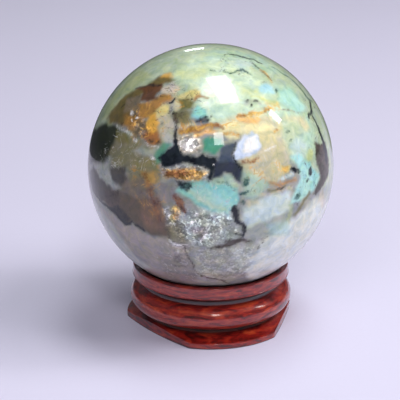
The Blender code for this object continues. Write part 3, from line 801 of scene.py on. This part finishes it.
def paintStone(mesh):
    count = len(mesh.vertices)
    places = np.empty(count * 3)
    mesh.vertices.foreach_get("co", places)
    places = places.reshape(-1, 3) - np.array(ballCentre)
    bent = places.copy()
    noise.seed_set(stonePlan["bendSeed"])
    for size, reach in stonePlan["bendSizes"]:
        wobble = np.array([noise.noise_vector(Vector(p) / size) for p in places])
        bent += wobble * reach * mm
    normals = bent / np.linalg.norm(bent, axis=1, keepdims=True)
    front = cameraAxes(cameraPlan["elevation"])
    back = (-front[0], -front[1], front[2])
    right = (Vector((1, 0, 0)), Vector((0, 1, 0)), Vector((0, 0, 1)))
    left = (Vector((-1, 0, 0)), Vector((0, -1, 0)), Vector((0, 0, 1)))
    sides = (
        (back, backGround, backVeins, None),
        (right, rightGround, rightVeins, None),
        (left, leftGround, leftVeins, None),
        (front, frontGround, frontVeins, cameraPlan["distance"] / mm),
    )
    ground = np.tile(np.array(groundColours["coolGrey"]), (count, 1))
    fields = {mineral: np.zeros(count) for mineral in (*mineralColours, "crystal")}
    seam = stonePlan["frontSeam"]
    unseen = np.clip((seam - normals @ np.array(front[0])) / seam, 0, 1)
    for axes, groundRows, veinRows, distance in sides:
        if distance:  # the front's own minerals replace the sides' there
            for mineral in fields:
                fields[mineral] *= unseen
        for name, reached, amount in layRows(normals, axes, groundRows, distance):
            step = amount[:, None]
            own = np.array(groundColours[name])
            ground[reached] = ground[reached] * (1 - step) + own * step
        for name, reached, amount in layRows(normals, axes, veinRows, distance):
            fields[name][reached] = np.maximum(fields[name][reached], amount)
    for mineral, field in fields.items():
        layer = mesh.attributes.new(mineral, "FLOAT", "POINT")
        layer.data.foreach_set("value", field.astype(np.float32))
    layer = mesh.attributes.new("ground", "FLOAT_VECTOR", "POINT")
    layer.data.foreach_set("vector", ground.astype(np.float32).ravel())


def raggedEdge():
    # a mineral's edge is broken up where its field is neither full nor empty
    tree = bpy.data.node_groups.new("raggedEdge", "ShaderNodeTree")
    for name in ("Field", "Grain", "Raggedness"):
        tree.interface.new_socket(name=name, in_out="INPUT", socket_type="NodeSocketFloat")
    tree.interface.new_socket(name="Amount", in_out="OUTPUT", socket_type="NodeSocketFloat")
    given = tree.nodes.new("NodeGroupInput").outputs
    result = tree.nodes.new("NodeGroupOutput")
    empty = mathNode(tree, "SUBTRACT", 1.0, given["Field"])
    middle = mathNode(tree, "MULTIPLY", given["Field"], empty)
    middle = mathNode(tree, "MULTIPLY", middle, 4.0)  # one where the field is a half
    swing = mathNode(tree, "SUBTRACT", given["Grain"], 0.5)
    swing = mathNode(tree, "MULTIPLY", swing, middle)
    swing = mathNode(tree, "MULTIPLY", swing, given["Raggedness"])
    amount = mathNode(tree, "ADD", given["Field"], swing, clamp=True)
    tree.links.new(amount, result.inputs["Amount"])
    return tree


def veinletAmount(tree, field, thread, mottle, halfWidth):
    # a thin line wherever the noise passes its middle, missing in places
    away = mathNode(tree, "ABSOLUTE", mathNode(tree, "SUBTRACT", thread, 0.5))
    line = mapRange(tree, away, (0.0, halfWidth), (1.0, 0.0))
    kept = mapRange(tree, mottle, stonePlan["veinletNoise"])
    return mathNode(tree, "MULTIPLY", mathNode(tree, "MULTIPLY", line, kept), field)


def crystalLight(tree, place, facets, plan):
    glitter = addNode(tree, "ShaderNodeTexVoronoi", {
        "Vector": place, "Scale": 1 / plan["glitterSize"]}).outputs
    faceted = mapRange(tree, channels(tree, facets["Color"])[0], result=plan["facetLight"])
    spark = channels(tree, glitter["Color"])[1]
    sparkle = mapRange(tree, spark, plan["glitterNoise"], plan["glitterLight"])
    light = mathNode(tree, "MULTIPLY", faceted, sparkle)
    return addNode(tree, "ShaderNodeCombineColor", {
        "Red": light, "Green": light, "Blue": light}).outputs[0]


def makeStoneMaterial(plan):
    material, tree, shader = newMaterial("polishedMineralStone")
    place = addNode(tree, "ShaderNodeTexCoord").outputs["Object"]
    mottle = noiseTexture(
        tree, place, plan["mottleSize"], Detail=5.0, Roughness=0.62, Distortion=0.6)
    ragged = noiseTexture(tree, place, plan["raggedSize"], Detail=4.0, Roughness=0.6)
    thread = noiseTexture(
        tree, place, plan["threadSize"], Detail=5.0, Roughness=0.55, Distortion=1.6)
    mottles = channels(tree, mottle["Color"])
    grains = channels(tree, ragged["Color"])
    threads = channels(tree, thread["Color"])
    edge = raggedEdge()

    # the painted ground, which holds the painted highlights and rim reflections too, a little
    # lighter and warmer here, darker and cooler there
    shade = mapRange(tree, mottles[0], plan["groundNoise"], plan["groundShade"])
    tint = mapRange(tree, mottles[1], plan["groundNoise"], plan["groundTint"])
    cast = addNode(tree, "ShaderNodeCombineColor", {
        "Red": mathNode(tree, "MULTIPLY", shade, tint), "Green": shade,
        "Blue": mathNode(tree, "DIVIDE", shade, tint)}).outputs[0]
    colour = mixColour(tree, 1.0, attributeNode(tree, "ground")["Color"], cast, "MULTIPLY")

    # each crisp mineral over it, with its own channel of every noise
    for index, (mineral, (dark, light)) in enumerate(mineralColours.items()):
        field = attributeNode(tree, mineral)["Fac"]
        first, second, third = ((index + shift) % 3 for shift in range(3))
        if mineral in veinlets:
            amount = veinletAmount(
                tree, field, threads[first], mottles[third], veinlets[mineral])
        else:
            amount = addNode(tree, "ShaderNodeGroup", {
                "Field": field, "Grain": grains[first],
                "Raggedness": plan["raggedness"]}, node_tree=edge).outputs["Amount"]
        swing = mapRange(tree, mottles[second], plan["mineralNoise"])
        colour = mixColour(tree, amount, colour, mixColour(tree, swing, dark, light))

    # crystals are lit facet by facet
    crystal = attributeNode(tree, "crystal")["Fac"]
    facets = addNode(tree, "ShaderNodeTexVoronoi", {
        "Vector": place, "Scale": 1 / plan["facetSize"]}).outputs
    light = crystalLight(tree, place, facets, plan)
    colour = mixColour(tree, crystal, colour, mixColour(tree, 1.0, colour, light, "MULTIPLY"))
    mottled = mixColour(tree, 1.0, colour, mottle["Color"], "OVERLAY")
    colour = mixColour(tree, plan["mottleOverlay"], colour, mottled)
    tree.links.new(colour, shader.inputs["Base Color"])
    rough = mapRange(tree, grains[0], result=plan["roughness"])
    tree.links.new(rough, shader.inputs["Roughness"])
    depth = mathNode(tree, "MULTIPLY", crystal, facets["Distance"])
    bump = addNode(tree, "ShaderNodeBump", {
        "Height": depth, "Distance": plan["facetDepth"], "Strength": plan["facetBump"]})
    tree.links.new(bump.outputs["Normal"], shader.inputs["Normal"])
    shader.inputs["Specular IOR Level"].default_value = plan["underPolishGloss"]
    shader.inputs["Coat Weight"].default_value = plan["polish"]
    shader.inputs["Coat Roughness"].default_value = plan["polishRoughness"]
    shader.inputs["Coat IOR"].default_value = plan["polishIor"]
    return material


def ballTree(material):
    # a cube's even grid, swelled to the ball
    tree = bpy.data.node_groups.new("turnedBall", "GeometryNodeTree")
    kinds = {"Radius": "NodeSocketFloat", "Centre Height": "NodeSocketFloat",
             "Faces per Side": "NodeSocketInt"}
    sockets = {}
    for name, kind in kinds.items():
        socket = tree.interface.new_socket(name=name, in_out="INPUT", socket_type=kind)
        sockets[name] = socket.identifier
    tree.interface.new_socket(name="Geometry", in_out="OUTPUT", socket_type="NodeSocketGeometry")
    given = tree.nodes.new("NodeGroupInput").outputs
    result = tree.nodes.new("NodeGroupOutput")
    corners = mathNode(tree, "ADD", given["Faces per Side"], 1.0)
    cube = addNode(tree, "GeometryNodeMeshCube", {
        "Size": (2, 2, 2), "Vertices X": corners, "Vertices Y": corners, "Vertices Z": corners})
    place = addNode(tree, "GeometryNodeInputPosition").outputs[0]
    parts = addNode(tree, "ShaderNodeSeparateXYZ", {"Vector": place}).outputs
    even = {}
    for name in "XYZ":
        angle = mathNode(tree, "MULTIPLY", parts[name], math.pi / 4)
        even[name] = mathNode(tree, "TANGENT", angle)
    spread = addNode(tree, "ShaderNodeCombineXYZ", even).outputs[0]
    unit = addNode(tree, "ShaderNodeVectorMath", {0: spread}, operation="NORMALIZE").outputs[0]
    swelled = addNode(tree, "ShaderNodeVectorMath", {
        0: unit, "Scale": given["Radius"]}, operation="SCALE").outputs[0]
    lift = addNode(tree, "ShaderNodeCombineXYZ", {"Z": given["Centre Height"]}).outputs[0]
    lifted = addNode(tree, "ShaderNodeVectorMath", {
        0: swelled, 1: lift}, operation="ADD").outputs[0]
    shaped = addNode(tree, "GeometryNodeSetPosition", {
        "Geometry": cube.outputs["Mesh"], "Position": lifted})
    smooth = addNode(tree, "GeometryNodeSetShadeSmooth", {"Geometry": shaped.outputs[0]})
    real = addNode(tree, "GeometryNodeRealizeInstances", {"Geometry": smooth.outputs[0]})
    finish = addNode(tree, "GeometryNodeSetMaterial", {
        "Geometry": real.outputs[0], "Material": material})
    tree.links.new(finish.outputs[0], result.inputs["Geometry"])
    return tree, sockets


def makeBall(plan):
    tree, sockets = ballTree(makeStoneMaterial(stonePlan))
    builder = bpy.data.objects.new("ballBuilder", bpy.data.meshes.new("ballBuilder"))
    scene.collection.objects.link(builder)
    nodes = builder.modifiers.new("turnedBall", "NODES")
    nodes.node_group = tree
    nodes[sockets["Radius"]] = plan["radius"]
    nodes[sockets["Centre Height"]] = plan["centreHeight"]
    nodes[sockets["Faces per Side"]] = plan["facesPerSide"]
    ball = bakeToMesh(builder, "polished_ball")
    paintStone(ball.data)
    return ball


ball = makeBall(ballPlan)
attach(ball, "root")
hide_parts("stone_sphere")
print("ball:", len(ball.data.vertices), "points")


standPlan = {
    # millimetres from the axis and up from the table
    "boreRadius": 12.4, "boreChamfer": 0.6, "seatGap": 0.3,
    "collarTop": 15.1, "collarRadius": 19.4, "collarEdge": 0.35,
    "lipRadius": 19.55, "lipHeight": 12.35, "lipThickness": 0.3,
    "upperNeckRadius": 17.35, "upperNeckTop": 11.4,
    "beadRadius": 20.2, "beadHeight": 6.8, "beadRound": 2.95,
    "lowerNeckRadius": 16.85, "lowerNeckHeight": 3.35,
    "shoulderRadius": 17.8, "shoulderHeight": 2.45,
    "rimRadius": 21.1, "rimHeight": 1.5, "rimRound": 0.25, "coveDepth": 0.12,
    # bearing from +X in degrees, distance of the flat's chord from the axis, bulge
    "footFlats": ((-140.5, 16.85, 1.15), (-13.5, 18.45, 0.35), (98.0, 18.2, 0.5)),
    "flatTop": 3.2,
    "footSteps": 24, "longestEdge": 0.7,
    "turnSteps": 256,
    # height of each groove, how far its dark stain and painted shade reach, strength, and least
    # radius
    "stainedAndShadedGrooves": ((10.6, 1.1, 1.4, 16), (3.3, 1.0, 1.3, 15)),
    "boredRadius": 17.8,  # inside this, all but the necks is stained and painted in shade
    "neckHeights": (2, 12), "neckRadius": 15,
    "underside": 0.2,
}


def arcPoints(centre, radius, start, end, steps):
    angles = [math.radians(start + (end - start) * step / steps) for step in range(steps + 1)]
    return [(centre[0] + radius * math.cos(a), centre[1] + radius * math.sin(a)) for a in angles]


def denser(points, gap):
    # adds points along the straight runs
    filled = []
    for a, b in zip(points, points[1:] + points[:1]):
        steps = max(1, math.ceil(math.dist(a, b) / gap))
        across, up = b[0] - a[0], b[1] - a[1]
        filled += [(a[0] + across * s / steps, a[1] + up * s / steps) for s in range(steps)]
    return filled


def standProfile(plan):
    seatRadius = ballPlan["radius"] / mm + plan["seatGap"]
    middle = ballPlan["centreHeight"] / mm
    inner = -math.degrees(math.acos(plan["boreRadius"] / seatRadius))
    outer = -math.degrees(math.asin((middle - plan["collarTop"]) / seatRadius))
    points = arcPoints((0, middle), seatRadius, inner, outer, 14)
    edge = plan["collarEdge"]
    points += arcPoints((plan["collarRadius"] - edge, plan["collarTop"] - edge), edge, 90, 0, 6)
    lip = plan["lipThickness"] / 2
    points += arcPoints((plan["lipRadius"] - lip, plan["lipHeight"]), lip, 60, -90, 6)
    neck = plan["upperNeckRadius"]
    points += [(neck + 0.3, plan["upperNeckTop"]), (neck, plan["upperNeckTop"] - 0.4)]
    points += [(neck, plan["beadHeight"] + plan["beadRound"] + 0.2)]
    bead = (plan["beadRadius"] - plan["beadRound"], plan["beadHeight"])
    points += arcPoints(bead, plan["beadRound"], 80, -80, 28)
    low, height = plan["lowerNeckRadius"], plan["lowerNeckHeight"]
    points += [(low + 0.15, height + 0.4), (low, height), (low + 0.3, height - 0.6)]
    shoulder = (plan["shoulderRadius"], plan["shoulderHeight"])
    rim = (plan["rimRadius"] - plan["rimRound"], plan["rimHeight"])
    for step in range(plan["footSteps"] + 1):
        part = step / plan["footSteps"]
        radius = shoulder[0] + (rim[0] - shoulder[0]) * part
        level = shoulder[1] + (rim[1] - shoulder[1]) * part
        points.append((radius, level - plan["coveDepth"] * math.sin(math.pi * part)))
    turned = plan["rimRound"]
    points += arcPoints((rim[0], rim[1] - turned), turned, 60, 0, 3)
    points += arcPoints((rim[0], turned), turned, 0, -90, 4)
    bore = plan["boreRadius"]
    points += [(bore + plan["boreChamfer"], 0), (bore, plan["boreChamfer"])]
    return denser(points, plan["longestEdge"])


def turnedTree(material):
    # turns the builder's own row of points about Z, one column of the grid at a time
    tree = bpy.data.node_groups.new("turnedOnLathe", "GeometryNodeTree")
    tree.interface.new_socket(name="Geometry", in_out="INPUT", socket_type="NodeSocketGeometry")
    steps = tree.interface.new_socket(
        name="Turn Steps", in_out="INPUT", socket_type="NodeSocketInt").identifier
    tree.interface.new_socket(name="Geometry", in_out="OUTPUT", socket_type="NodeSocketGeometry")
    given = tree.nodes.new("NodeGroupInput").outputs
    result = tree.nodes.new("NodeGroupOutput")
    size = addNode(tree, "GeometryNodeAttributeDomainSize", {"Geometry": given["Geometry"]})
    count = size.outputs["Point Count"]
    rows = mathNode(tree, "ADD", count, 1.0)
    columns = mathNode(tree, "ADD", given["Turn Steps"], 1.0)
    grid = addNode(tree, "GeometryNodeMeshGrid", {"Vertices X": columns, "Vertices Y": rows})
    index = addNode(tree, "GeometryNodeInputIndex").outputs[0]
    column = mathNode(tree, "DIVIDE", mathNode(tree, "ADD", index, 0.5), rows)
    column = mathNode(tree, "FLOOR", column)
    row = mathNode(tree, "SUBTRACT", index, mathNode(tree, "MULTIPLY", column, rows))
    point = mathNode(tree, "FLOORED_MODULO", mathNode(tree, "ADD", row, 0.25), count)
    where = addNode(tree, "GeometryNodeInputPosition").outputs[0]
    sample = addNode(tree, "GeometryNodeSampleIndex", data_type="FLOAT_VECTOR", domain="POINT")
    tree.links.new(given["Geometry"], sample.inputs["Geometry"])
    tree.links.new(where, sample.inputs["Value"])
    tree.links.new(mathNode(tree, "FLOOR", point), sample.inputs["Index"])
    angle = mathNode(tree, "MULTIPLY", column, 2 * math.pi)
    angle = mathNode(tree, "DIVIDE", angle, given["Turn Steps"])
    turned = addNode(tree, "ShaderNodeVectorRotate", {
        "Vector": sample.outputs[0], "Angle": angle}, rotation_type="Z_AXIS")
    shaped = addNode(tree, "GeometryNodeSetPosition", {
        "Geometry": grid.outputs["Mesh"], "Position": turned.outputs[0]})
    closed = addNode(tree, "GeometryNodeMergeByDistance", {
        "Geometry": shaped.outputs[0], "Distance": 0.01 * mm})
    real = addNode(tree, "GeometryNodeRealizeInstances", {"Geometry": closed.outputs[0]})
    finish = addNode(tree, "GeometryNodeSetMaterial", {
        "Geometry": real.outputs[0], "Material": material})
    tree.links.new(finish.outputs[0], result.inputs["Geometry"])
    return tree, steps


def grindFlats(mesh, plan):
    # the foot's flats: points past a flat are brought back to it
    for vertex in mesh.vertices:
        if vertex.co.z > plan["flatTop"] * mm:
            continue
        x, y = vertex.co.x / mm, vertex.co.y / mm
        radius = math.hypot(x, y)
        limit = radius
        for bearing, chord, bulge in plan["footFlats"]:
            half = math.sqrt(plan["rimRadius"] ** 2 - chord**2)
            curve = (half**2 + bulge**2) / (2 * bulge)
            centre = chord + bulge - curve
            away = math.atan2(y, x) - math.radians(bearing)
            # where the ray at this bearing meets the flat's curve
            root = curve**2 - (centre * math.sin(away)) ** 2
            if math.cos(away) <= 0 or root <= 0:
                continue
            limit = min(limit, centre * math.cos(away) + math.sqrt(root))
        vertex.co.x *= limit / radius
        vertex.co.y *= limit / radius


def paintStand(mesh, plan):
    # how dark the stain and painted shade are at each point: full inside and below, and fading from
    # the grooves
    low, high = plan["neckHeights"]
    stainAndShade = []
    for vertex in mesh.vertices:
        radius = math.hypot(vertex.co.x, vertex.co.y) / mm
        height = vertex.co.z / mm
        amount = 0.0
        for middle, reach, strength, least in plan["stainedAndShadedGrooves"]:
            if radius > least:
                depth = strength * (1 - abs(height - middle) / reach)
                amount = max(amount, min(1.0, depth))
        neck = low < height < high and radius > plan["neckRadius"]
        if (radius < plan["boredRadius"] and not neck) or height < plan["underside"]:
            amount = 1.0
        stainAndShade.append(amount)
    mesh.attributes.new("stainAndShade", "FLOAT", "POINT").data.foreach_set("value", stainAndShade)


lacquerPlan = {
    "deepRed": (0.055, 0.003, 0.003),
    "red": (0.30, 0.012, 0.008),
    "orangeRed": (0.52, 0.065, 0.020),
    "stainAndShade": (0.006, 0.002, 0.002),
    "streakSize": 5.0 * mm,
    "streakStretch": (1.0, 1.0, 5.0),
    "streakStops": (0.36, 0.50, 0.68),
    "grainSize": 0.5 * mm,
    "grainStretch": (0.22, 1.0, 1.6),
    "poreNoise": (0.30, 0.62),
    "poreStrength": 0.55,
    "stainAndShadeStrength": 0.96,
    "roughness": (0.28, 0.48),
    "waveSize": 2.2 * mm,
    "waveDepth": 0.12 * mm,
    "waveBump": 0.6,
    "grainRelief": 0.12,
    "coatRoughness": 0.07,
    "coatIor": 1.5,
}


def makeLacquer(plan):
    material, tree, shader = newMaterial("redLacqueredWood")
    place = addNode(tree, "ShaderNodeTexCoord").outputs["Object"]
    streakPlace = addNode(tree, "ShaderNodeMapping", {
        "Vector": place, "Scale": plan["streakStretch"]}).outputs[0]
    streak = noiseTexture(
        tree, streakPlace, plan["streakSize"], Detail=5.0, Roughness=0.6, Distortion=0.8)
    grainPlace = addNode(tree, "ShaderNodeMapping", {
        "Vector": place, "Scale": plan["grainStretch"]}).outputs[0]
    grain = noiseTexture(tree, grainPlace, plan["grainSize"], Detail=6.0, Roughness=0.65)
    ramp = addNode(tree, "ShaderNodeValToRGB", {"Fac": streak["Fac"]})
    stops = ramp.color_ramp.elements
    low, middle, high = plan["streakStops"]
    stops[0].position, stops[0].color = low, (*plan["deepRed"], 1)
    stops[1].position, stops[1].color = high, (*plan["orangeRed"], 1)
    stops.new(middle).color = (*plan["red"], 1)
    pores = mapRange(tree, grain["Fac"], plan["poreNoise"], (plan["poreStrength"], 0.0))
    colour = mixColour(tree, pores, ramp.outputs["Color"], plan["deepRed"])
    # painted shade with the stain: the near-black also stands for the shade in the grooves, the
    # seat, the bore and underneath
    stainAndShade = mathNode(tree, "MULTIPLY", attributeNode(tree, "stainAndShade")["Fac"], plan["stainAndShadeStrength"])
    colour = mixColour(tree, stainAndShade, colour, plan["stainAndShade"])
    tree.links.new(colour, shader.inputs["Base Color"])
    rough = mapRange(tree, grain["Fac"], result=plan["roughness"])
    tree.links.new(rough, shader.inputs["Roughness"])
    wave = noiseTexture(tree, place, plan["waveSize"], Detail=3.0)
    fine = mathNode(tree, "MULTIPLY", grain["Fac"], plan["grainRelief"])
    bump = addNode(tree, "ShaderNodeBump", {
        "Height": mathNode(tree, "ADD", wave["Fac"], fine),
        "Distance": plan["waveDepth"], "Strength": plan["waveBump"]})
    tree.links.new(bump.outputs["Normal"], shader.inputs["Normal"])
    tree.links.new(bump.outputs["Normal"], shader.inputs["Coat Normal"])
    shader.inputs["Coat Weight"].default_value = 1.0
    shader.inputs["Coat Roughness"].default_value = plan["coatRoughness"]
    shader.inputs["Coat IOR"].default_value = plan["coatIor"]
    return material


def makeStand(plan):
    tree, steps = turnedTree(makeLacquer(lacquerPlan))
    profile = standProfile(plan)
    row = bpy.data.meshes.new("standBuilder")
    row.from_pydata([(r * mm, 0, h * mm) for r, h in profile], [], [])
    builder = bpy.data.objects.new("standBuilder", row)
    scene.collection.objects.link(builder)
    nodes = builder.modifiers.new("turnedOnLathe", "NODES")
    nodes.node_group = tree
    nodes[steps] = plan["turnSteps"]
    stand = bakeToMesh(builder, "turned_stand")
    grindFlats(stand.data, plan)
    paintStand(stand.data, plan)
    stand.data.shade_smooth()
    stand.data.set_sharp_from_angle(angle=math.radians(38))
    return stand


stand = makeStand(standPlan)
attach(stand, "root")
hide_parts("wood_stand")
print("stand:", len(stand.data.vertices), "points")
